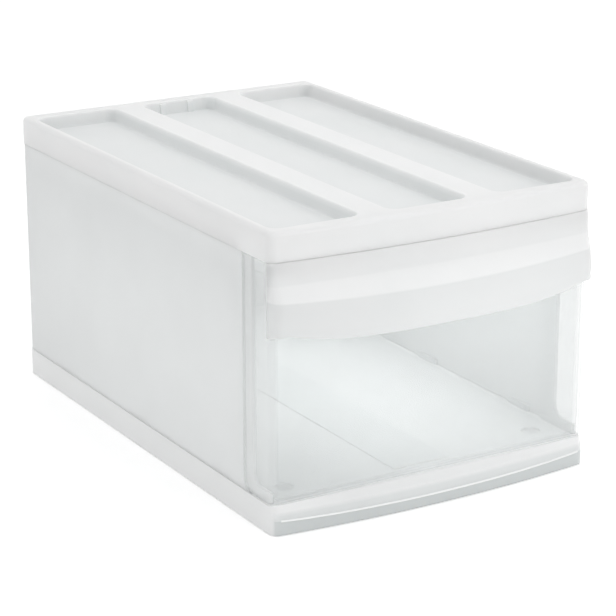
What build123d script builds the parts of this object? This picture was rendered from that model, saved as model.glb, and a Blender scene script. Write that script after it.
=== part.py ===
from build123d import *
import os

# Stackable drawer box: a milky snap-together case with one clear sliding drawer. Millimetres.
# Frame: origin under the middle of the footprint, on the floor. X is the width, +Z is up, and the
# drawer opens towards -Y. "Reach" is how far something stands in front of the four front corners.

# Overall size
WIDTH = 255.0
DEPTH = 395.0
HEIGHT = 207.0
HANDLE_REACH = 16.0
HALF_WIDTH = WIDTH / 2
BACK_Y = DEPTH / 2
CORNER_Y = -DEPTH / 2 + HANDLE_REACH

# Levels
SKIRT_BOTTOM_Z = 0.5
LIP_EDGE_Z = 8.2
LIP_KNEE_Z = 16.0
BASE_TOP_Z = 20.5
SEAM_Z = 186.5

# Case mouldings
CORNER_R = 6.0
SKIN = 2.2
WALL = 2.0
WALL_INSET = 0.5
FIT_GAP = 0.1
FLAT_BOW = 0.01

# Base tray. The lip slopes from its top to a knee, then falls steeply to an edge that rises at both ends.
LIP_END_REACH = 3.0
LIP_MID_REACH = 11.0
LIP_END_FLARE = 0.5
LIP_KNEE_END_REACH = 2.1
LIP_KNEE_MID_REACH = 8.7
LIP_TOP_END_REACH = 0.8
LIP_TOP_MID_REACH = 2.4
RUNNER_HALF_WIDTH = 22.5
RUNNER_TOP_Z = 21.7
WEB = 1.8
WEB_BOTTOM_Z = 4.0
LENGTH_WEBS_X = (62.5, 113.0)
CROSS_WEBS_FROM_CORNER = (38.0, 240.0)

# Feet, with their centres measured from the corners of the case
FOOT_X = 102.0
FOOT_FROM_CORNER = 26.0
FOOT_STEM_R = 6.9
FOOT_HEAD_R = 9.0
FOOT_TOP_Z = 19.0
BOSS_BORE_R = 7.0
BOSS_R = 9.0

# Side walls: distances behind the front corners
WALL_FRONT = 36.0
WALL_TOE_R = 10.0
FLANGE_FRONT = 27.0
FLANGE_LAP = 6.0
FLANGE_R = 9.0
SILL_FRONT = 4.6
SILL_TOP_Z = 28.0
FLANGE_T = 2.4
BACK_RETURN = 12.0
TONGUE = 2.1
TONGUE_TOP_Z = 194.0
TONGUE_LAP_Z = 12.0
TAB_LENGTH = 24.0
TAB_BOTTOM_Z = 13.5
TAB_TOP_Z = 25.0
SIDE_TABS_FROM_CORNER = (70.0, 190.0, 310.0)
BACK_TABS_X = (-60.0, 60.0)
BACK_LAP = 6.0

# Top cover
COVER_MID_REACH = 7.0
COVER_EDGE_R = 3.5
DECK = 2.0
RECESS_DEPTH = 10.0
RECESS_TAPER = 8.0
RECESS_CORNER_R = 9.0
RECESS_FLOOR_R = 1.5
RECESS_EDGE_R = 1.0
RIM_SIDE = 6.3
RIM_FRONT = 7.0
RIM_BACK = 13.0
RIB_X = 42.5
RIB_WIDTH = 22.0
CATCH_WIDTH = 5.0
CATCH_DEPTH = 3.0
CATCH_DROP = 1.5
CATCHES_X = (-12.0, 12.0)
STOP_WIDTH = 5.0
STOP_T = 2.5
STOP_FROM_CORNER = 5.5
STOP_BOTTOM_Z = 179.0

# Drawer
DRAWER_GAP = 0.7
FRONT_HALF_WIDTH = HALF_WIDTH - WALL_INSET
FRONT_T = 2.0
FRONT_BOTTOM_Z = 21.3
FRONT_TOP_Z = 183.3
RETURN_T = 1.7
RETURN_GAP = 0.35
RETURN_TOP_Z = 186.1
RETURN_R = 9.3
FRONT_CORNER_R = 4.0
TUB_T = 1.8
TUB_BOTTOM_Z = 22.0
TUB_TOP_Z = 174.0
TUB_BACK_Y = 188.0
TUB_CORNER_R = 6.0
TUB_FLOOR_R = 3.0
LUG_Y = 130.0
LUG_LENGTH = 6.0
LUG_TOP_Z = 183.0

# Handle: its outer surface as (reach beyond the bow, level), top to bottom, at its two ends, and how
# much the bow adds and the crease and lower edge dip at the middle
HANDLE_HALF_WIDTH = FRONT_HALF_WIDTH
HANDLE_BOW = 7.5
HANDLE_TOP_Z = 186.1
HANDLE_SHOULDER = (1.6, 171.0)
HANDLE_CREASE = (5.6, 161.0)
HANDLE_CREASE_DIP = 3.8
HANDLE_LOW_REACH = 8.3
HANDLE_EDGE_REACH = 8.5
HANDLE_EDGE_Z = 141.5
HANDLE_EDGE_DIP = 10.8
HANDLE_EDGE_POWER = 4
HANDLE_EDGE_HEIGHT = 6.0
HANDLE_T = 2.0
HANDLE_STATIONS = 9
HANDLE_CORNER_R = 4.0
HANDLE_END_DROP = 7.0
HOOK_BOTTOM_Z = 176.0
HOOK_T = 2.0
HOOK_HALF_WIDTH = 122.0


def reach(distance):
    """Y of a plane this far in front of the front corners."""
    return CORNER_Y - distance


def block(x0, x1, y0, y1, z0, z1):
    """A box between two corners."""
    size = Box(x1 - x0, y1 - y0, z1 - z0)
    return Pos((x0 + x1) / 2, (y0 + y1) / 2, (z0 + z1) / 2) * size


def plan_outline(half_width, back_y, end_reach, mid_reach, corner_r):
    """Plan of the case: straight sides and back, front edge bowed forward, rounded corners."""
    left = (-half_width, reach(end_reach))
    right = (half_width, reach(end_reach))
    edges = [
        Line(left, (-half_width, back_y)),
        Line((-half_width, back_y), (half_width, back_y)),
        Line((half_width, back_y), right),
        ThreePointArc(right, (0, reach(mid_reach)), left),
    ]
    face = make_face(Curve() + edges)
    return fillet(face.vertices(), corner_r)


def side_profile(points, x0, x1, corner=None, radius=0.0):
    """A face drawn as (Y, Z) points, with one corner rounded if asked, extruded from x0 to x1."""
    face = make_face(Polyline(*points, close=True))
    if corner:
        nearest = min(face.vertices(), key=lambda v: (Vector(v.X, v.Y) - Vector(*corner)).length)
        face = fillet([nearest], radius)
    return Pos(x0, 0, 0) * extrude(Plane.YZ * face, x1 - x0)


def both_sides(solid):
    """A solid and its mirror image across the middle plane."""
    return [solid, mirror(solid, Plane.YZ)]


# ---- Base tray ----------------------------------------------------------------------------------


def base_envelope(inset, top_z, bottom_z):
    """The base's block: an upright skirt, and above its edge the lip's steep face and its slope."""
    half = HALF_WIDTH - inset
    back = BACK_Y - inset
    edge_z = LIP_EDGE_Z - inset / 2
    knee_z = LIP_KNEE_Z - inset

    def plan(end_reach, mid_reach):
        """Plan of the base where its front reaches this far."""
        return plan_outline(half, back, end_reach - inset, mid_reach - inset, CORNER_R - inset)

    foot = plan(LIP_END_REACH + LIP_END_FLARE, LIP_MID_REACH)
    knee = plan(LIP_KNEE_END_REACH, LIP_KNEE_MID_REACH)
    top = plan(LIP_TOP_END_REACH, LIP_TOP_MID_REACH)
    face = loft([Pos(0, 0, edge_z) * foot, Pos(0, 0, knee_z) * knee], ruled=True)
    slope = loft([Pos(0, 0, knee_z) * knee, Pos(0, 0, top_z) * top], ruled=True)
    skirt = Pos(0, 0, bottom_z) * extrude(plan(LIP_END_REACH, LIP_MID_REACH), top_z - bottom_z)
    below = block(-WIDTH, WIDTH, -DEPTH, DEPTH, bottom_z, edge_z)
    return (skirt & below) + (skirt & face) + slope


def foot_places():
    """Name and plan position of each foot."""
    rows = {"front": CORNER_Y + FOOT_FROM_CORNER, "back": BACK_Y - FOOT_FROM_CORNER}
    sides = {"left": -FOOT_X, "right": FOOT_X}
    return {f"foot_{row}_{side}": (x, y) for row, y in rows.items() for side, x in sides.items()}


def base_webs():
    """Stiffening webs under the floor, joined to the skirt."""
    webs = []
    for x in LENGTH_WEBS_X:
        web = block(x - WEB / 2, x + WEB / 2, reach(LIP_MID_REACH), BACK_Y, WEB_BOTTOM_Z, BASE_TOP_Z)
        webs += both_sides(web)
    for distance in CROSS_WEBS_FROM_CORNER:
        y = CORNER_Y + distance
        webs.append(block(-HALF_WIDTH, HALF_WIDTH, y - WEB / 2, y + WEB / 2, WEB_BOTTOM_Z, BASE_TOP_Z))
    return webs


def make_base_tray():
    """Floor, skirt and bowed lip, with webs, foot bosses, centre runner and slots for the walls' tabs."""
    outer = base_envelope(0, BASE_TOP_Z, SKIRT_BOTTOM_Z)
    inner = base_envelope(SKIN, BASE_TOP_Z - SKIN, SKIRT_BOTTOM_Z)
    hollow = inner
    for web in base_webs():
        hollow -= web
    bore_height = BASE_TOP_Z - SKIRT_BOTTOM_Z
    for x, y in foot_places().values():
        hollow -= Pos(x, y, SKIRT_BOTTOM_Z + bore_height / 2) * Cylinder(BOSS_R, bore_height)
    tray = outer - hollow
    for x, y in foot_places().values():
        tray -= Pos(x, y, SKIRT_BOTTOM_Z + bore_height / 2) * Cylinder(BOSS_BORE_R, 2 * bore_height)
    for slot in tab_slots():
        tray -= slot
    runner = block(
        -RUNNER_HALF_WIDTH,
        RUNNER_HALF_WIDTH,
        CORNER_Y + FOOT_FROM_CORNER / 2,
        BACK_Y - RIM_BACK,
        BASE_TOP_Z - SKIN / 2,
        RUNNER_TOP_Z,
    )
    return tray + runner


def make_foot(x, y):
    """Soft plug: a stem pushed up into the base's boss and a round pad below it."""
    stem = Pos(x, y, FOOT_TOP_Z / 2) * Cylinder(FOOT_STEM_R, FOOT_TOP_Z)
    pad = Pos(x, y, SKIRT_BOTTOM_Z / 2) * Cylinder(FOOT_HEAD_R, SKIRT_BOTTOM_Z)
    return stem + pad


# ---- Walls --------------------------------------------------------------------------------------

WALL_OUTER_X = HALF_WIDTH - WALL_INSET
WALL_INNER_X = WALL_OUTER_X - WALL
WALL_OUTER_Y = BACK_Y - WALL_INSET
WALL_INNER_Y = WALL_OUTER_Y - WALL
BACK_HALF_WIDTH = HALF_WIDTH - BACK_RETURN - FIT_GAP


def side_tab(distance, gap=0.0):
    """One snap tab of the right wall, or with a gap, the slot that it drops into."""
    y = CORNER_Y + distance
    half = TAB_LENGTH / 2 + gap
    return block(WALL_INNER_X - TONGUE - gap, WALL_INNER_X, y - half, y + half, TAB_BOTTOM_Z, TAB_TOP_Z)


def back_tab(x, gap=0.0):
    """One snap tab of the back wall, or its slot."""
    half = TAB_LENGTH / 2 + gap
    inner = WALL_INNER_Y - FIT_GAP
    return block(x - half, x + half, inner - TONGUE - gap, inner, TAB_BOTTOM_Z, TAB_TOP_Z)


def tab_slots():
    """Slots in the base's floor for every wall tab."""
    slots = []
    for distance in SIDE_TABS_FROM_CORNER:
        slots += both_sides(side_tab(distance, FIT_GAP))
    slots += [back_tab(x, FIT_GAP) for x in BACK_TABS_X]
    return slots


def right_wall_skin():
    """Outer panel: straight side, rounded back corner, short return along the back, curved front toe."""
    radius = CORNER_R - WALL_INSET
    outline = plan_outline(WALL_OUTER_X, WALL_OUTER_Y, 0, FLAT_BOW, radius)
    inside = plan_outline(WALL_INNER_X, WALL_INNER_Y, 0, FLAT_BOW, radius - WALL)
    front = CORNER_Y + WALL_FRONT
    toe_front = front - WALL_TOE_R
    corner_x = HALF_WIDTH - BACK_RETURN
    height = SEAM_Z - BASE_TOP_Z
    plan = Pos(0, 0, BASE_TOP_Z) * extrude(outline - inside, height)
    skin = plan & block(corner_x, HALF_WIDTH, toe_front, BACK_Y, BASE_TOP_Z, SEAM_Z)
    corner = (front, BASE_TOP_Z)
    mouth = [(toe_front - WALL, BASE_TOP_Z), corner, (front, SEAM_Z), (toe_front - WALL, SEAM_Z)]
    return skin - side_profile(mouth, corner_x, HALF_WIDTH, corner, WALL_TOE_R - FIT_GAP)


def right_wall_flange():
    """Set-in strip that the drawer front closes over: upright behind the front, low sill along the foot."""
    front = CORNER_Y + FLANGE_FRONT
    sill = CORNER_Y + SILL_FRONT
    back = CORNER_Y + WALL_FRONT + FLANGE_LAP
    inner = WALL_INNER_X - FLANGE_T
    plate = block(inner, WALL_INNER_X, sill, back, BASE_TOP_Z, SEAM_Z)
    corner = (front, SILL_TOP_Z)
    mouth = [(sill - WALL, SILL_TOP_Z), corner, (front, SEAM_Z), (sill - WALL, SEAM_Z)]
    return plate - side_profile(mouth, inner, WALL_INNER_X, corner, FLANGE_R)


def make_right_wall():
    """Right side panel with its flange, its tongue inside the cover and its tabs in the base."""
    tongue = block(
        WALL_INNER_X - TONGUE,
        WALL_INNER_X,
        CORNER_Y + WALL_FRONT + FLANGE_LAP,
        WALL_INNER_Y - CORNER_R,
        SEAM_Z - TONGUE_LAP_Z,
        TONGUE_TOP_Z,
    )
    wall = right_wall_skin() + right_wall_flange() + tongue
    for distance in SIDE_TABS_FROM_CORNER:
        wall += side_tab(distance)
    return wall


def make_back_wall():
    """Back panel between the side walls' returns, with laps behind them, a tongue and tabs."""
    inner = WALL_INNER_Y - FIT_GAP
    half = BACK_HALF_WIDTH
    panel = block(-half, half, inner, WALL_OUTER_Y, BASE_TOP_Z, SEAM_Z)
    lap_y = inner - TONGUE
    for side in (-1, 1):
        lap = sorted((side * (half - BACK_LAP), side * (half + BACK_LAP)))
        panel += block(*lap, lap_y, inner, TAB_TOP_Z, SEAM_Z - TONGUE_LAP_Z - WALL)
    panel += block(BACK_LAP - half, half - BACK_LAP, lap_y, inner, SEAM_Z - TONGUE_LAP_Z, TONGUE_TOP_Z)
    for x in BACK_TABS_X:
        panel += back_tab(x)
    return panel


# ---- Top cover ----------------------------------------------------------------------------------


def recess_spans():
    """The three recesses across the cover, as (x0, x1) at the rim's level."""
    rim = HALF_WIDTH - RIM_SIDE
    rib_outer = RIB_X + RIB_WIDTH / 2
    rib_inner = RIB_X - RIB_WIDTH / 2
    return [(-rim, -rib_outer), (-rib_inner, rib_inner), (rib_outer, rim)]


def recess_block(x0, x1, grow, depth):
    """Drafted recess, or its outer shell when grown, from the rim's level down."""
    y0 = CORNER_Y + RIM_FRONT
    y1 = BACK_Y - RIM_BACK
    plan = RectangleRounded(x1 - x0 + 2 * grow, y1 - y0 + 2 * grow, RECESS_CORNER_R + grow)
    place = Pos((x0 + x1) / 2, (y0 + y1) / 2, HEIGHT)
    return place * extrude(plan, -depth, taper=RECESS_TAPER)


def recess_brims(cover):
    """The recesses' upper edges, all of them well inside the cover's outer edge."""
    brims = cover.edges().group_by(Axis.Z)[-1]
    half = HALF_WIDTH - RIM_SIDE + RECESS_EDGE_R
    front = CORNER_Y + RIM_FRONT - RECESS_EDGE_R
    back = BACK_Y - RIM_BACK + RECESS_EDGE_R
    return brims.filter_by(lambda edge: abs(edge.center().X) < half and front < edge.center().Y < back)


def make_catch(x):
    """Small wedge on the recess's back wall that keeps a stacked box from sliding."""
    foot_y = BACK_Y - RIM_BACK
    floor_z = HEIGHT - RECESS_DEPTH
    top_z = HEIGHT - CATCH_DROP
    wedge = [
        (foot_y + WALL, floor_z - DECK / 2),
        (foot_y - CATCH_DEPTH, floor_z - DECK / 2),
        (foot_y - CATCH_DEPTH / 2, top_z),
        (foot_y + WALL, top_z),
    ]
    return side_profile(wedge, x - CATCH_WIDTH / 2, x + CATCH_WIDTH / 2, wedge[2], CATCH_DEPTH / 6)


def make_drawer_stop():
    """Tab under the cover, behind the drawer front, that the tub's lug runs into."""
    x1 = WALL_INNER_X - FLANGE_T - FIT_GAP
    y0 = CORNER_Y + STOP_FROM_CORNER
    return block(x1 - STOP_WIDTH, x1, y0, y0 + STOP_T, STOP_BOTTOM_Z, HEIGHT - DECK)


def make_top_cover():
    """Cover with a skirt, a stacking rim, two ribs and three recesses, hollow below."""
    outline = plan_outline(HALF_WIDTH, BACK_Y, 0, COVER_MID_REACH, CORNER_R)
    inside = plan_outline(HALF_WIDTH - SKIN, BACK_Y - SKIN, -SKIN, COVER_MID_REACH - SKIN, CORNER_R - SKIN)
    outer = Pos(0, 0, SEAM_Z) * extrude(outline, HEIGHT - SEAM_Z)
    outer = fillet(outer.edges().group_by(Axis.Z)[-1], COVER_EDGE_R)
    hollow = Pos(0, 0, SEAM_Z) * extrude(inside, HEIGHT - DECK - SEAM_Z)
    for x0, x1 in recess_spans():
        hollow -= recess_block(x0, x1, DECK, RECESS_DEPTH + DECK)
    cover = outer - hollow
    for x0, x1 in recess_spans():
        recess = recess_block(x0, x1, 0, RECESS_DEPTH)
        cover -= fillet(recess.edges().group_by(Axis.Z)[0], RECESS_FLOOR_R)
    cover = fillet(recess_brims(cover), RECESS_EDGE_R)
    for x in CATCHES_X:
        cover += make_catch(x)
    for stop in both_sides(make_drawer_stop()):
        cover += stop
    return cover


# ---- Drawer -------------------------------------------------------------------------------------


def drawer_front():
    """Flat clear front with returns along both sides, rounded at their low back corners."""
    back = CORNER_Y + WALL_FRONT - RETURN_GAP
    shell = plan_outline(FRONT_HALF_WIDTH, back + FRONT_CORNER_R, 0, FLAT_BOW, FRONT_CORNER_R)
    inner_r = FRONT_CORNER_R - RETURN_T
    inner_half = FRONT_HALF_WIDTH - RETURN_T
    inside = plan_outline(inner_half, back + 2 * FRONT_CORNER_R, -FRONT_T, FLAT_BOW - FRONT_T, inner_r)
    cup = Pos(0, 0, FRONT_BOTTOM_Z) * extrude(shell - inside, RETURN_TOP_Z - FRONT_BOTTOM_Z)
    profile = [
        (reach(1), FRONT_BOTTOM_Z),
        (back, FRONT_BOTTOM_Z),
        (back, RETURN_TOP_Z),
        (reach(1), RETURN_TOP_Z),
    ]
    cup = cup & side_profile(profile, -HALF_WIDTH, HALF_WIDTH, (back, FRONT_BOTTOM_Z), RETURN_R)
    hook_back = CORNER_Y + FRONT_T + HOOK_T + DRAWER_GAP
    return cup - block(-HALF_WIDTH, HALF_WIDTH, reach(1), hook_back, FRONT_TOP_Z, HEIGHT)


def tub_half_width():
    """Half the tub's width: it clears the walls' flanges."""
    return WALL_INNER_X - FLANGE_T - DRAWER_GAP


def drawer_tub_shell():
    """Open-topped tub behind the front, with rounded back corners and a rounded floor edge."""
    half = tub_half_width()
    front = CORNER_Y + FRONT_T / 2
    outer = block(-half, half, front, TUB_BACK_Y, TUB_BOTTOM_Z, TUB_TOP_Z)
    outer = fillet(outer.edges().filter_by(Axis.Z).group_by(Axis.Y)[-1], TUB_CORNER_R)
    floor_edges = outer.edges().group_by(Axis.Z)[0]
    outer = fillet(floor_edges.filter_by(lambda edge: edge.center().Y > front + TUB_T), TUB_FLOOR_R)
    inner = block(
        -half + TUB_T,
        half - TUB_T,
        CORNER_Y + FRONT_T,
        TUB_BACK_Y - TUB_T,
        TUB_BOTTOM_Z + FRONT_T,
        HEIGHT,
    )
    inner = fillet(inner.edges().filter_by(Axis.Z).group_by(Axis.Y)[-1], TUB_CORNER_R - TUB_T)
    return outer - inner


def make_lug():
    """Stop lug on the right side's top edge."""
    half = tub_half_width()
    return block(half - TUB_T, half, LUG_Y, LUG_Y + LUG_LENGTH, TUB_TOP_Z - TUB_T, LUG_TOP_Z)


def make_drawer_tub():
    """Clear drawer: front, returns and tub in one moulding, with a stop lug on each side."""
    tub = drawer_front() + drawer_tub_shell()
    for lug in both_sides(make_lug()):
        tub += lug
    return tub


def handle_section(x):
    """Hooked C-shaped section of the handle across X, as a face in a YZ plane."""
    middle = 1 - (x / HANDLE_HALF_WIDTH) ** 2
    bow = HANDLE_BOW * middle
    shoulder_z = HANDLE_SHOULDER[1]
    crease_z = HANDLE_CREASE[1] - HANDLE_CREASE_DIP * middle
    edge_z = HANDLE_EDGE_Z - HANDLE_EDGE_DIP * (1 - (x / HANDLE_HALF_WIDTH) ** HANDLE_EDGE_POWER)
    hook_back = -FRONT_T - FIT_GAP - HOOK_T
    hook_front = -FRONT_T - FIT_GAP
    under_z = FRONT_TOP_Z + FIT_GAP

    def clear(distance):
        """A reach on the inner surface, kept in front of the clear panel."""
        return max(FIT_GAP, distance)

    outline = [
        (hook_back, HANDLE_TOP_Z),
        (bow, HANDLE_TOP_Z),
        (bow + HANDLE_SHOULDER[0], shoulder_z),
        (bow + HANDLE_CREASE[0], crease_z),
        (bow + HANDLE_LOW_REACH, edge_z + HANDLE_EDGE_HEIGHT),
        (bow + HANDLE_EDGE_REACH, edge_z),
        (bow + HANDLE_EDGE_REACH - HANDLE_T, edge_z),
        (bow + HANDLE_LOW_REACH - HANDLE_T, edge_z + HANDLE_EDGE_HEIGHT),
        (clear(bow + HANDLE_CREASE[0] - HANDLE_T), crease_z),
        (clear(bow + HANDLE_SHOULDER[0] - HANDLE_T), shoulder_z),
        (clear(bow - HANDLE_T), under_z),
        (hook_front, under_z),
        (hook_front, HOOK_BOTTOM_Z),
        (hook_back, HOOK_BOTTOM_Z),
    ]
    points = [(reach(distance), z) for distance, z in outline]
    return Pos(x, 0, 0) * (Plane.YZ * make_face(Polyline(*points, close=True)))


def handle_end_cap():
    """Closed right end of the handle, fitted round the clear front's corner."""
    points = [
        (-FRONT_CORNER_R, HANDLE_TOP_Z),
        (0, HANDLE_TOP_Z),
        HANDLE_SHOULDER,
        HANDLE_CREASE,
        (HANDLE_LOW_REACH, HANDLE_EDGE_Z),
        (HANDLE_LOW_REACH / 2, HANDLE_EDGE_Z - HANDLE_END_DROP / 2),
        (-FRONT_CORNER_R, HANDLE_EDGE_Z - HANDLE_END_DROP),
    ]
    profile = [(reach(distance), z) for distance, z in points]
    cap = side_profile(profile, HANDLE_HALF_WIDTH - FRONT_CORNER_R, HANDLE_HALF_WIDTH)
    front = plan_outline(FRONT_HALF_WIDTH, BACK_Y, FIT_GAP, FIT_GAP + FLAT_BOW, FRONT_CORNER_R)
    return cap - extrude(front, FRONT_TOP_Z + FIT_GAP)


def make_drawer_handle():
    """Bowed hollow pull that hooks over the top edge of the drawer front."""
    half = HANDLE_STATIONS // 2
    stations = [HANDLE_HALF_WIDTH * i / half for i in range(-half, half + 1)]
    hood = loft([handle_section(x) for x in stations])
    hook_back = CORNER_Y + FRONT_T + HOOK_T + DRAWER_GAP
    for end in both_sides(block(HOOK_HALF_WIDTH, HALF_WIDTH, CORNER_Y, hook_back, 0, FRONT_TOP_Z + FIT_GAP)):
        hood -= end
    for cap in both_sides(handle_end_cap()):
        hood += cap
    plan = plan_outline(
        HANDLE_HALF_WIDTH,
        CORNER_Y + WALL_FRONT,
        HANDLE_EDGE_REACH,
        HANDLE_EDGE_REACH + HANDLE_BOW,
        HANDLE_CORNER_R,
    )
    return hood & extrude(plan, HEIGHT)


# ---- Export -------------------------------------------------------------------------------------


def build_nodes():
    """Every piece of the box by name."""
    right_wall = make_right_wall()
    nodes = {
        "base_tray": make_base_tray(),
        "right_side_wall": right_wall,
        "left_side_wall": mirror(right_wall, Plane.YZ),
        "back_wall": make_back_wall(),
        "top_cover": make_top_cover(),
        "drawer_tub": make_drawer_tub(),
        "drawer_handle": make_drawer_handle(),
    }
    for name, (x, y) in foot_places().items():
        nodes[name] = make_foot(x, y)
    return nodes


os.makedirs("parts", exist_ok=True)
for node, solid in build_nodes().items():
    export_step(solid, f"parts/{node}.step")
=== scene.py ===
import logging
import math
from collections.abc import Iterable
from dataclasses import dataclass, field, replace
from enum import Enum

import bmesh
import bpy
from mathutils import Matrix, Vector


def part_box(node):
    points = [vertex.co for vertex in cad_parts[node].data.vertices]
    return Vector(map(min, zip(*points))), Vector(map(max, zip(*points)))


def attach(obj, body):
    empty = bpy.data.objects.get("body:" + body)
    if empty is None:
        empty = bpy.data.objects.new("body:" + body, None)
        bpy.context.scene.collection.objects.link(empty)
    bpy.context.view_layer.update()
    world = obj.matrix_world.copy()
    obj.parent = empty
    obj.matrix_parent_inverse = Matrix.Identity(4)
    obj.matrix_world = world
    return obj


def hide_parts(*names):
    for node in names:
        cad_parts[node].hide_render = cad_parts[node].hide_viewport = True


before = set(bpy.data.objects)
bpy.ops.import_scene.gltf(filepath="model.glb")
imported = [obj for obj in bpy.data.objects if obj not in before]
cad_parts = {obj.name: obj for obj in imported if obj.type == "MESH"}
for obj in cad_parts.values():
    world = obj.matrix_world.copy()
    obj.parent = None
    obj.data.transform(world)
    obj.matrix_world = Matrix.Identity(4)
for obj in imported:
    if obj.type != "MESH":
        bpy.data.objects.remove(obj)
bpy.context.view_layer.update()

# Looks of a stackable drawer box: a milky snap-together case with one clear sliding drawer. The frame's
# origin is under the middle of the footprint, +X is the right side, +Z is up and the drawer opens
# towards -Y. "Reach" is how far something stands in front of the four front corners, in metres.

Output = tuple[bpy.types.Node, str]
Point = tuple[float, float, float]

MM = 0.001
PHOTO_PIXELS = 616
SENSOR_MM = 36.0
# A face is upright where its normal rises by less than this.
STEEP_NORMAL = 0.18
# The vertex attribute that says how much painted shade a mesh takes.
SHADE_MARK = "painted_shade"
# The melt's clouds turn from the denser shade to the colour between these values of their noise.
CLOUD_EDGES = (0.3, 0.6)
CLOUD_DETAIL = 2.0
GRAIN_DETAIL = 1.0
# How early a see-through wall looks denser as it turns away.
GRAZING_BLEND = 0.35

log = logging.getLogger("drawer_box")


class Body(str, Enum):
    """The two bodies that pieces ride on."""

    CASE = "case"
    DRAWER = "drawer"


class Slot(str, Enum):
    """The record's material slots."""

    MILKY = "milky_polypropylene"
    COVER = "milky_cover"
    CLEAR = "clear_plastic"
    FOOT = "soft_foot"


# ---- Colours and nodes --------------------------------------------------------------------------


def linear(hex_colour: str) -> tuple[float, float, float, float]:
    """Turns an sRGB hex colour into the linear values that shaders use.

    Args:
        hex_colour: Six hex digits, such as "F2F3F2".

    Returns:
        Linear red, green and blue, and an alpha of one.
    """
    channels = [int(hex_colour[i : i + 2], 16) / 255 for i in (0, 2, 4)]
    curve = [c / 12.92 if c <= 0.04045 else ((c + 0.055) / 1.055) ** 2.4 for c in channels]
    return (*curve, 1.0)


def add_node(
    tree: bpy.types.NodeTree,
    kind: str,
    settings: dict | None = None,
    values: dict | None = None,
    links: dict | None = None,
) -> bpy.types.Node:
    """Adds a shader node.

    Args:
        tree: The node tree that gets it.
        kind: Blender's name of the node's type.
        settings: Attributes of the node and their values.
        values: Input sockets and their constant values.
        links: Input sockets and the (node, output) that feeds each.

    Returns:
        The new node.
    """
    node = tree.nodes.new(kind)
    for name, value in (settings or {}).items():
        setattr(node, name, value)
    for name, value in (values or {}).items():
        node.inputs[name].default_value = value
    for name, (source, output) in (links or {}).items():
        tree.links.new(source.outputs[output], node.inputs[name])
    return node


# ---- Finishes -----------------------------------------------------------------------------------


def tint(tree: bpy.types.NodeTree, colour: Output, shade: str, share: Output) -> Output:
    """Multiplies a colour by a shade.

    Args:
        tree: The material's node tree.
        colour: The colour, as a node and the name of its output.
        shade: sRGB hex that multiplies it.
        share: How much of that is done, from 0 to 1.

    Returns:
        The shaded colour.
    """
    mix = add_node(
        tree,
        "ShaderNodeMixRGB",
        {"blend_type": "MULTIPLY"},
        {"Color2": linear(shade)},
        {"Fac": share, "Color1": colour},
    )
    return mix, "Color"


@dataclass(frozen=True)
class Zone:
    """A block of space in which a moulding's colour is tinted grey; under the lip and in the recesses this
    is painted shade.

    It is as wide to the left as to the right, and its sizes and places are in millimetres.

    Attributes:
        half_width: Half its width.
        along: Its front and its back.
        levels: Its bottom and its top.
        tint: sRGB hex that multiplies the finish's colour.
        blur: Distance over which the tint fades at the block's faces.
        upright: Whether only upright faces take it.
    """

    half_width: float
    along: tuple[float, float]
    levels: tuple[float, float]
    tint: str
    blur: float = 2.0
    upright: bool = False

    def tinted(self, tree: bpy.types.NodeTree, place: bpy.types.Node, colour: Output) -> Output:
        """Adds the tint to a colour.

        Args:
            tree: The material's node tree.
            place: Its texture coordinates.
            colour: The colour to tint, as a node and the name of its output.

        Returns:
            The tinted colour.
        """
        low = Vector((-self.half_width, self.along[0], self.levels[0])) * MM
        high = Vector((self.half_width, self.along[1], self.levels[1])) * MM
        fade = self.blur * MM / 2
        offset = add_node(
            tree,
            "ShaderNodeVectorMath",
            {"operation": "SUBTRACT"},
            {1: (low + high) / 2},
            {0: (place, "Object")},
        )
        distance = add_node(
            tree, "ShaderNodeVectorMath", {"operation": "ABSOLUTE"}, links={0: (offset, "Vector")}
        )
        past = add_node(
            tree,
            "ShaderNodeVectorMath",
            {"operation": "SUBTRACT"},
            {1: (high - low) / 2},
            {0: (distance, "Vector")},
        )
        axes = add_node(tree, "ShaderNodeSeparateXYZ", links={"Vector": (past, "Vector")})
        sideways = add_node(
            tree, "ShaderNodeMath", {"operation": "MAXIMUM"}, links={0: (axes, "X"), 1: (axes, "Y")}
        )
        largest = add_node(
            tree, "ShaderNodeMath", {"operation": "MAXIMUM"}, links={0: (sideways, "Value"), 1: (axes, "Z")}
        )
        share = add_node(
            tree,
            "ShaderNodeMapRange",
            values={"From Min": -fade, "From Max": fade, "To Min": 1.0, "To Max": 0.0},
            links={"Value": (largest, "Value")},
        )
        if self.upright:
            facing = add_node(tree, "ShaderNodeSeparateXYZ", links={"Vector": (place, "Normal")})
            share = add_node(
                tree,
                "ShaderNodeMapRange",
                values={"From Min": STEEP_NORMAL / 2, "From Max": STEEP_NORMAL, "To Max": 0.0},
                links={"Value": (facing, "Z"), "To Min": (share, "Result")},
            )
        return tint(tree, colour, self.tint, (share, "Result"))


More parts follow.
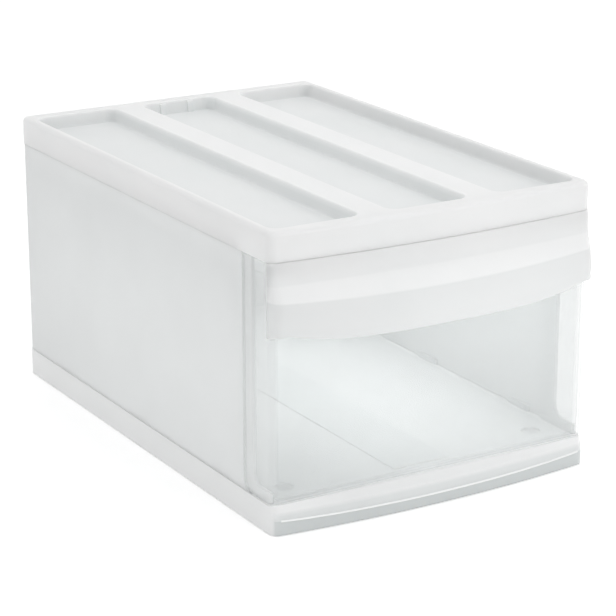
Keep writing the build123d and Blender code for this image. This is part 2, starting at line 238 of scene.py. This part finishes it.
@dataclass(frozen=True)
class Finish:
    """A moulded plastic's surface: its colour, gloss, depth and fine relief.

    Attributes:
        name: The material's name.
        colour: sRGB hex of the plastic.
        shade: sRGB hex of its slightly denser flow bands.
        roughness: Microfacet roughness.
        alpha: How much of the view the wall stops, from 0 to 1.
        edge_alpha: The same seen along the surface.
        depth_mm: Mean path of light inside the plastic, zero for none.
        soak: Share of the light that goes that way rather than back from the surface.
        band_mm: Size of the soft clouds that the melt's flow leaves.
        grain_mm: Size of the tool's texture. The real one is finer; this is as fine as a render shows.
        grain_height: Strength of that texture's relief.
        zones: Blocks of space in which it is tinted.
        painted_shade_tint: sRGB hex that multiplies the colour where the mesh is marked for painted shade.
        edge_mm: Radius at which plain edges look rounded, zero where the mesh is rounded already.
    """

    name: str
    colour: str
    shade: str
    roughness: float
    alpha: float = 1.0
    edge_alpha: float = 1.0
    depth_mm: float = 0.0
    soak: float = 0.5
    band_mm: float = 70.0
    grain_mm: float = 0.8
    grain_height: float = 0.05
    ior: float = 1.49
    zones: tuple[Zone, ...] = ()
    painted_shade_tint: str = ""
    edge_mm: float = 0.0

    def material(self) -> bpy.types.Material:
        """Builds the material.

        Returns:
            The new material.
        """
        material = bpy.data.materials.new(self.name)
        material.use_nodes = True
        tree = material.node_tree
        tree.nodes.clear()
        place = add_node(tree, "ShaderNodeTexCoord")
        clouds = add_node(
            tree,
            "ShaderNodeTexNoise",
            values={"Scale": 1 / (self.band_mm * MM), "Detail": CLOUD_DETAIL},
            links={"Vector": (place, "Object")},
        )
        colours = add_node(tree, "ShaderNodeValToRGB", links={"Fac": (clouds, "Fac")})
        stops = zip(colours.color_ramp.elements, (self.shade, self.colour), CLOUD_EDGES)
        for stop, hex_colour, edge in stops:
            stop.color = linear(hex_colour)
            stop.position = edge
        grain = add_node(
            tree,
            "ShaderNodeTexNoise",
            values={"Scale": 1 / (self.grain_mm * MM), "Detail": GRAIN_DETAIL},
            links={"Vector": (place, "Object")},
        )
        relief = add_node(
            tree,
            "ShaderNodeBump",
            values={"Strength": self.grain_height, "Distance": self.grain_mm * MM / 4},
            links={"Height": (grain, "Fac")},
        )
        if self.edge_mm:
            rounded = add_node(tree, "ShaderNodeBevel", {"samples": 4}, {"Radius": self.edge_mm * MM})
            tree.links.new(rounded.outputs["Normal"], relief.inputs["Normal"])
        colour = (colours, "Color")
        for zone in self.zones:
            colour = zone.tinted(tree, place, colour)
        # Painted shade where the mesh is marked for it.
        if self.painted_shade_tint:
            mark = add_node(tree, "ShaderNodeAttribute", {"attribute_name": SHADE_MARK})
            colour = tint(tree, colour, self.painted_shade_tint, (mark, "Fac"))
        shader = add_node(
            tree,
            "ShaderNodeBsdfPrincipled",
            values={"Roughness": self.roughness, "IOR": self.ior, "Alpha": self.alpha},
            links={"Base Color": colour, "Normal": (relief, "Normal")},
        )
        if self.depth_mm:
            shader.inputs["Subsurface Weight"].default_value = self.soak
            shader.inputs["Subsurface Radius"].default_value = (1.0, 1.0, 1.0)
            shader.inputs["Subsurface Scale"].default_value = self.depth_mm * MM
        if self.edge_alpha != self.alpha:
            facing = add_node(tree, "ShaderNodeLayerWeight", values={"Blend": GRAZING_BLEND})
            alpha = add_node(
                tree,
                "ShaderNodeMapRange",
                values={"To Min": self.alpha, "To Max": self.edge_alpha},
                links={"Value": (facing, "Facing")},
            )
            tree.links.new(alpha.outputs["Result"], shader.inputs["Alpha"])
        add_node(tree, "ShaderNodeOutputMaterial", links={"Surface": (shader, "BSDF")})
        return material


# Natural polypropylene, injection moulded 2 mm thick: milky, so light soaks through and the inside shows
# as faint shadows. Its colour is greyer than the base's and the cover's: painted shade on the walls.
MILKY_WALL = Finish(
    "natural_polypropylene_wall", "ECEEEE", "E9EBEB", 0.42, alpha=0.75, depth_mm=12.0, edge_mm=0.4
)
# The same melt in the base: whiter than the walls with their painted shade, but grey below the lip's
# edge: painted shade under the lip's edge and near the floor, with the webs and the dark underside behind.
LIP_SHADOW = Zone(126.5, (-198.0, -183.5), (0.0, 12.5), "EBEDED", blur=1.0, upright=True)
# The lip's steep face is greyer than its slope: painted shade. The floor is a little grey too, and most
# along its runner.
LIP_FACE_SHADE = Zone(126.5, (-198.0, -183.5), (0.0, 15.0), "EFF1F1", blur=3.0)
FLOOR = Zone(120.0, (-178.5, 190.0), (19.0, 22.5), "F3F4F4")
RUNNER = Zone(22.2, (-168.0, 184.0), (19.0, 22.5), "EEF0F0", blur=1.0)
MILKY_BASE = Finish(
    "natural_polypropylene_base",
    "FCFDFD",
    "FAFBFB",
    0.42,
    alpha=0.85,
    depth_mm=12.0,
    soak=0.3,
    edge_mm=0.6,
    zones=(LIP_SHADOW, LIP_FACE_SHADE, FLOOR, RUNNER),
)
# The bead along the lip's edge is solid, so it is the whitest line of the base.
LIP_BEAD = Finish("natural_polypropylene_bead", "F6F7F7", "F4F5F5", 0.3, depth_mm=3.0, soak=0.15)
# The same melt in a polished tool, a little thicker, with a soft sheen, and whiter still than the base. Its
# recesses are thinner, and painted shade greys them.
RECESS_SHADE = Zone(120.5, (-174.0, 184.0), (190.0, 204.5), "EFF1F1", blur=4.0)
MILKY_COVER = Finish(
    "natural_polypropylene_cover",
    "FDFDFD",
    "FAFBFB",
    0.34,
    alpha=0.85,
    depth_mm=12.0,
    edge_mm=0.4,
    zones=(RECESS_SHADE,),
)
# The cover's melt again, with painted shade on the pull's apron, which hangs clear of the drawer, and a
# little above its bright band.
MILKY_PULL = replace(
    MILKY_COVER, name="natural_polypropylene_pull", zones=(), edge_mm=0.0, painted_shade_tint="EFF0F0"
)
# Clear polypropylene from a mirror-polished tool: a faintly grey window, denser where it turns away, so
# that the open drawer still shows against a white background.
CLEAR = Finish("clear_polypropylene", "F2F4F4", "EFF1F1", 0.12, alpha=0.06, edge_alpha=0.55)
# Soft thermoplastic elastomer: matt and greyer than the case, so its round plugs show in the floor.
SOFT_FOOT = Finish("soft_elastomer_foot", "CFD1D1", "C9CBCB", 0.65, alpha=0.9, depth_mm=1.5)


# ---- Meshes -------------------------------------------------------------------------------------


def finish_mesh(
    name: str, mesh: bmesh.types.BMesh, material: bpy.types.Material, sharp_deg: float = 35.0
) -> bpy.types.Object:
    """Turns a finished bmesh into an object at the origin.

    Args:
        name: The piece's name.
        mesh: The bmesh, which is freed.
        material: Its material.
        sharp_deg: Edges that turn by more than this stay sharp.

    Returns:
        The new object, linked to the scene.
    """
    data = bpy.data.meshes.new(name)
    bmesh.ops.recalc_face_normals(mesh, faces=mesh.faces)
    mesh.to_mesh(data)
    mesh.free()
    data.shade_smooth()
    data.set_sharp_from_angle(angle=math.radians(sharp_deg))
    data.materials.append(material)
    piece = bpy.data.objects.new(name, data)
    bpy.context.scene.collection.objects.link(piece)
    return piece


def dress(nodes: Iterable[str], material: bpy.types.Material) -> None:
    """Gives carried-over nodes a material.

    Args:
        nodes: The nodes' names.
        material: The material for all their slots.
    """
    for name in nodes:
        for material_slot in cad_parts[name].material_slots:
            material_slot.material = material
        log.info("dressed %s in %s", name, material.name)


# ---- Case ---------------------------------------------------------------------------------------


@dataclass
class LipBead:
    """The fine half-round bead along the lower edge of the base's bowed lip.

    Its line repeats the edge's: the levels and reaches are the lip's own, in millimetres, at the ends and
    at the middle.
    """

    edge_level: float = 8.2
    knee_level: float = 16.0
    skirt_reach: tuple[float, float] = (3.0, 11.0)
    foot_reach: tuple[float, float] = (3.5, 11.0)
    knee_reach: tuple[float, float] = (2.1, 8.7)
    half_length: float = 121.5
    radius: float = 0.7
    sunk: float = 0.1
    sides: int = 10
    steps: int = 64
    finish: Finish = LIP_BEAD
    half: float = field(init=False)
    corner_y: float = field(init=False)

    def __post_init__(self) -> None:
        """Takes the base's half width and the place of its front corners from the frame."""
        low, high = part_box("base_tray")
        self.half = high[0] / MM
        self.corner_y = low[1] / MM + self.skirt_reach[1]

    def build(self) -> bpy.types.Object:
        """Makes the bead.

        Returns:
            The bead, riding on the case.
        """
        mesh = bmesh.new()
        ring = bmesh.ops.create_circle(
            mesh,
            cap_ends=False,
            segments=self.sides,
            radius=self.radius,
            matrix=Matrix.Rotation(math.pi / 2, 4, "Y"),
        )
        bmesh.ops.translate(mesh, vec=(-self.half_length, 0, 0), verts=ring["verts"])
        bmesh.ops.spin(
            mesh,
            geom=mesh.verts[:] + mesh.edges[:],
            cent=(0, 0, 0),
            axis=(0, 0, 1),
            dvec=(2 * self.half_length / self.steps, 0, 0),
            angle=0,
            steps=self.steps,
            use_merge=False,
        )
        rims = [edge for edge in mesh.edges if edge.is_boundary]
        bmesh.ops.holes_fill(mesh, edges=rims, sides=self.sides)
        for vertex in mesh.verts:
            vertex.co = (vertex.co + self.edge_point(vertex.co.x)) * MM
        piece = finish_mesh("lip_bead", mesh, self.finish.material())
        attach(piece, Body.CASE.value)
        return piece

    def edge_point(self, x: float) -> Vector:
        """Where the lip's steep face meets the skirt.

        Args:
            x: The place across, in millimetres.

        Returns:
            The place of the bead's middle there, with its X left at zero.
        """
        bow = 1 - (x / self.half) ** 2
        lines = (self.skirt_reach, self.foot_reach, self.knee_reach)
        skirt, foot, knee = (end + (middle - end) * bow for end, middle in lines)
        rise = (self.knee_level - self.edge_level) * (foot - skirt) / (foot - knee)
        return Vector((0.0, self.corner_y - skirt + self.sunk, self.edge_level + rise))


@dataclass
class Case:
    """The milky case: base tray, walls, back, cover and feet."""

    wall: Finish = MILKY_WALL
    base: Finish = MILKY_BASE
    cover: Finish = MILKY_COVER
    foot: Finish = SOFT_FOOT

    def build(self) -> None:
        """Dresses the case's mouldings."""
        dress(("left_side_wall", "right_side_wall", "back_wall"), self.wall.material())
        dress(("base_tray",), self.base.material())
        log.info("made %s", LipBead().build().name)
        dress(("top_cover",), self.cover.material())
        feet = [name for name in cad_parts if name.startswith("foot_")]
        dress(feet, self.foot.material())


# ---- Drawer -------------------------------------------------------------------------------------


@dataclass
class Pull:
    """The milky bowed pull: one skin hooked over the drawer front's top edge, open below and behind.

    Its section is drawn as it is at the ends, as (reach, level) in millimetres, with the levels of the
    lower edge counted from that edge. The bow and the dips of the crease and the edge come on top.
    """

    hook: tuple[float, float] = (-4.1, 176.0)
    top: tuple[float, float] = (0.3, 186.35)
    shoulder: tuple[float, float] = (1.6, 171.0)
    crease: tuple[float, float] = (6.4, 161.0)
    lower_edge: tuple[tuple[float, float], ...] = (
        (8.3, 7.5),
        (7.8, 3.6),
        (8.4, 1.9),
        (8.3, 0.7),
        (7.7, 0.0),
    )
    edge_level: float = 141.5
    bow: float = 7.5
    crease_dip: float = 3.8
    edge_dip: float = 10.8
    edge_power: int = 4
    edge_flat: float = 118.0
    corner_length: float = 4.15
    corner_growth: float = 0.6
    corner_squareness: float = 0.36
    end_drop: float = 3.0
    hook_half: float = 122.0
    side_overlap: float = 0.3
    fold_radius: float = 2.6
    fold_segments: int = 5
    wall: float = 2.0
    fit_gap: float = 0.1
    clear_corner: float = 4.0
    stations: int = 72
    above_band: float = 0.3
    finish: Finish = MILKY_PULL
    half: float = field(init=False)
    corner_y: float = field(init=False)

    def __post_init__(self) -> None:
        """Takes the half width and the place of the front corners from the pull's plain solid."""
        low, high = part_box("drawer_handle")
        furthest = self.bow + max(reach for reach, level in self.lower_edge)
        self.half = high[0] / MM + self.side_overlap
        self.corner_y = low[1] / MM + furthest + self.fit_gap

    def build(self) -> bpy.types.Object:
        """Makes the pull.

        Returns:
            The pull, riding on the drawer in place of its plain node.
        """
        mesh = bmesh.new()
        for depth in (0.0, self.wall):
            self.add_skin(mesh, depth)
        rims = [edge for edge in mesh.edges if edge.is_boundary]
        bmesh.ops.bridge_loops(mesh, edges=rims)
        bmesh.ops.scale(mesh, vec=(MM, MM, MM), verts=mesh.verts)
        piece = finish_mesh("bowed_pull", mesh, self.finish.material())
        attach(piece, Body.DRAWER.value)
        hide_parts("drawer_handle")
        return piece

    def add_skin(self, mesh: bmesh.types.BMesh, depth: float) -> None:
        """Adds the outer or the inner surface: a section swept sideways, then bowed and wrapped.

        Args:
            mesh: The bmesh that gets it, in millimetres.
            depth: How far inside the outer surface it lies.
        """
        hook_reach = self.hook[0] + depth
        points = [(hook_reach, self.hook[1]), (hook_reach, self.top[1] - depth)]
        points += [(self.top[0] - depth, self.top[1] - depth)]
        points += [(reach - depth, level) for reach, level in (self.shoulder, self.crease)]
        points += [(reach - depth, self.edge_level + level) for reach, level in self.lower_edge]
        strip = bmesh.new()
        line = [strip.verts.new((-1.0, reach, level)) for reach, level in points]
        for pair in zip(line, line[1:]):
            strip.edges.new(pair)
        bmesh.ops.bevel(
            strip,
            geom=line[3:5],
            offset=self.fold_radius,
            segments=self.fold_segments,
            profile=0.5,
            affect="VERTICES",
            material=-1,
        )
        bmesh.ops.spin(
            strip,
            geom=strip.verts[:] + strip.edges[:],
            cent=(0, 0, 0),
            axis=(0, 0, 1),
            dvec=(2 / self.stations, 0, 0),
            angle=0,
            steps=self.stations,
            use_merge=False,
        )
        half = self.half - (self.fit_gap if depth else 0.0)
        for vertex in strip.verts:
            vertex.co.x = half * math.sin(vertex.co.x * math.pi / 2)
        # Marks the painted shade: full on the apron, a little above the folds, none on the bright band
        # between them.
        mark = strip.verts.layers.float.new(SHADE_MARK)
        for vertex in strip.verts:
            vertex[mark] = self.painted_shade_share(vertex.co.z)
            vertex.co = self.shaped(*vertex.co, depth)
        data = bpy.data.meshes.new("skin")
        strip.to_mesh(data)
        strip.free()
        mesh.from_mesh(data)
        bpy.data.meshes.remove(data)

    def painted_shade_share(self, level: float) -> float:
        """How much painted shade the pull takes.

        Args:
            level: A level on the section at the ends.

        Returns:
            The mark for that level: none on the bright band between the folds, and full on the apron.
        """
        if level > self.shoulder[1]:
            return self.above_band
        return 1.0 if level < self.crease[1] else 0.0

    def shaped(self, x: float, reach: float, level: float, depth: float) -> Vector:
        """Bows, dips and wraps one point of a straight strip.

        Args:
            x: Its place across.
            reach: Its reach at the ends.
            level: Its level at the ends.
            depth: How far inside the outer surface it lies.

        Returns:
            Its place in the finished pull, in millimetres.
        """
        hook_reach = self.hook[0] + depth
        if reach < hook_reach + self.fit_gap:
            return Vector((x * self.hook_half / self.half, self.corner_y - reach, level))
        middle = 1 - (x / self.half) ** 2
        edge_rise = (min(abs(x), self.edge_flat) / self.half) ** self.edge_power
        drops = (
            (self.shoulder[1], 0.0),
            (self.crease[1], self.crease_dip * middle),
            (self.edge_level, self.edge_dip * (1 - edge_rise)),
        )
        drop = 0.0
        for (upper, drop_upper), (lower, drop_lower) in zip(drops, drops[1:]):
            share = min(max((upper - level) / (upper - lower), 0.0), 1.0)
            drop = drop_upper + (drop_lower - drop_upper) * share if share else drop
        bowed = reach + self.bow * middle
        outer_reach = max(reach + depth, 0.0)
        corner = self.corner_length + self.corner_growth * outer_reach - depth
        turn = min(max((abs(x) - self.half + depth + corner) / corner, 0.0), 1.0)
        left = (1 - turn**2) ** (1 / (2 + self.corner_squareness * outer_reach))
        wrapped = self.hook[0] + (bowed - self.hook[0]) * left
        if depth:
            past = max(abs(x) - self.half + self.clear_corner, 0.0)
            clear_face = math.sqrt(max(self.clear_corner**2 - past**2, 0.0)) - self.clear_corner
            wrapped = max(wrapped, clear_face + self.fit_gap)
        low_share = min(max((self.crease[1] - level) / (self.crease[1] - self.edge_level), 0.0), 1.0)
        return Vector((x, self.corner_y - wrapped, level - drop - self.end_drop * low_share * (1 - left)))


@dataclass
class Drawer:
    """The clear drawer and its milky pull."""

    clear: Finish = CLEAR

    def build(self) -> None:
        """Dresses the clear moulding and makes the pull."""
        dress(("drawer_tub",), self.clear.material())
        log.info("made %s", Pull().build().name)


# ---- Studio -------------------------------------------------------------------------------------


@dataclass(frozen=True)
class Softbox:
    """One soft light.

    Attributes:
        name: The light's name.
        place: Where it hangs.
        size: Its width and length.
        power: Its power in watts.
        target: The point that it is aimed at.
    """

    name: str
    place: Point
    size: tuple[float, float]
    power: float
    target: Point = (0.0, 0.0, 0.1)

    def hang(self) -> bpy.types.Object:
        """Makes the light.

        Returns:
            The light, linked to the scene.
        """
        lamp = bpy.data.lights.new(self.name, "AREA")
        lamp.shape = "RECTANGLE"
        lamp.size, lamp.size_y = self.size
        lamp.energy = self.power
        light = bpy.data.objects.new(self.name, lamp)
        light.location = self.place
        light.rotation_mode = "QUATERNION"
        light.rotation_quaternion = (Vector(self.target) - Vector(self.place)).to_track_quat("-Z", "Y")
        bpy.context.scene.collection.objects.link(light)
        return light


@dataclass
class Studio:
    """White sweep, soft lights and the camera."""

    floor_size: float = 14.0
    yaw_deg: float = 31.017
    pitch_deg: float = 17.912
    focal_px: float = 2283.3
    eye: Point = (-0.8182, -1.3782, 0.6042)
    world_strength: float = 0.86
    floor_glow: float = 0.17
    bounces: int = 8
    overhead: Softbox = Softbox("overhead_softbox", (0.1, 0.1, 1.7), (1.6, 1.6), 3.1)
    front: Softbox = Softbox("front_softbox", (0.7, -1.7, 1.0), (1.2, 1.2), 5.4)
    inner: Softbox = Softbox("inner_glow", (0.03, 0.01, 0.168), (0.15, 0.34), 0.265, (0.03, 0.01, 0.0))

    def build(self) -> None:
        """Makes the floor, the lights and the camera."""
        self.allow_bounces()
        self.make_floor()
        self.make_world()
        self.overhead.hang()
        self.front.hang()
        self.make_inner_glow()
        self.make_camera()

    def allow_bounces(self) -> None:
        """Lets light cross the many thin walls, which would look grey if its path were cut short."""
        cycles = bpy.context.scene.cycles
        cycles.max_bounces = self.bounces
        cycles.diffuse_bounces = self.bounces
        cycles.transmission_bounces = self.bounces
        cycles.transparent_max_bounces = 2 * self.bounces

    def make_floor(self) -> None:
        """Makes the white floor, which keeps the object's shadow."""
        mesh = bmesh.new()
        bmesh.ops.create_grid(mesh, x_segments=1, y_segments=1, size=self.floor_size / 2)
        material = bpy.data.materials.new("white_paper_sweep")
        material.use_nodes = True
        tree = material.node_tree
        tree.nodes.clear()
        paper = add_node(tree, "ShaderNodeBsdfDiffuse", values={"Color": linear("FFFFFF")})
        path = add_node(tree, "ShaderNodeLightPath")
        seen = add_node(
            tree,
            "ShaderNodeMath",
            {"operation": "MULTIPLY"},
            values={1: self.floor_glow},
            links={0: (path, "Is Camera Ray")},
        )
        glow = add_node(
            tree,
            "ShaderNodeEmission",
            values={"Color": linear("FFFFFF")},
            links={"Strength": (seen, "Value")},
        )
        both = add_node(tree, "ShaderNodeAddShader", links={0: (paper, "BSDF"), 1: (glow, "Emission")})
        add_node(tree, "ShaderNodeOutputMaterial", links={"Surface": (both, "Shader")})
        finish_mesh("floor", mesh, material)

    def make_world(self) -> None:
        """Makes the even white surroundings: plain light, and a white view behind the object."""
        world = bpy.data.worlds.new("white_studio")
        bpy.context.scene.world = world
        world.use_nodes = True
        tree = world.node_tree
        tree.nodes.clear()
        path = add_node(tree, "ShaderNodeLightPath")
        seen = add_node(
            tree,
            "ShaderNodeMath",
            {"operation": "MAXIMUM"},
            links={0: (path, "Is Camera Ray"), 1: (path, "Is Transmission Ray")},
        )
        strength = add_node(
            tree,
            "ShaderNodeMapRange",
            values={"To Min": self.world_strength, "To Max": 1.0},
            links={"Value": (seen, "Value")},
        )
        white = add_node(
            tree,
            "ShaderNodeBackground",
            values={"Color": linear("FFFFFF")},
            links={"Strength": (strength, "Result")},
        )
        add_node(tree, "ShaderNodeOutputWorld", links={"Surface": (white, "Background")})

    def make_inner_glow(self) -> None:
        """Makes the light that soaks in through the thin milky walls, which path tracing loses."""
        glow = self.inner.hang()
        glow.data.specular_factor = 0.0
        glow.visible_camera = False
        glow.visible_glossy = False
        glow.visible_transmission = False

    def make_camera(self) -> None:
        """Makes the camera at the photograph's viewing angle."""
        yaw = math.radians(self.yaw_deg)
        pitch = math.radians(self.pitch_deg)
        level = math.cos(pitch)
        forward = Vector((math.sin(yaw) * level, math.cos(yaw) * level, -math.sin(pitch)))
        camera = bpy.data.objects.new("camera", bpy.data.cameras.new("camera"))
        camera.data.sensor_width = SENSOR_MM
        camera.data.lens = self.focal_px * SENSOR_MM / PHOTO_PIXELS
        camera.location = self.eye
        camera.rotation_mode = "QUATERNION"
        camera.rotation_quaternion = forward.to_track_quat("-Z", "Y")
        bpy.context.scene.collection.objects.link(camera)
        bpy.context.scene.camera = camera


def main() -> None:
    """Builds the drawer box's looks and the studio round it."""
    bpy.context.scene.view_settings.view_transform = "Standard"
    Studio().build()
    Case().build()
    Drawer().build()


if __name__ == "__main__":
    logging.basicConfig(level=logging.INFO, format="%(name)s: %(message)s")
    main()
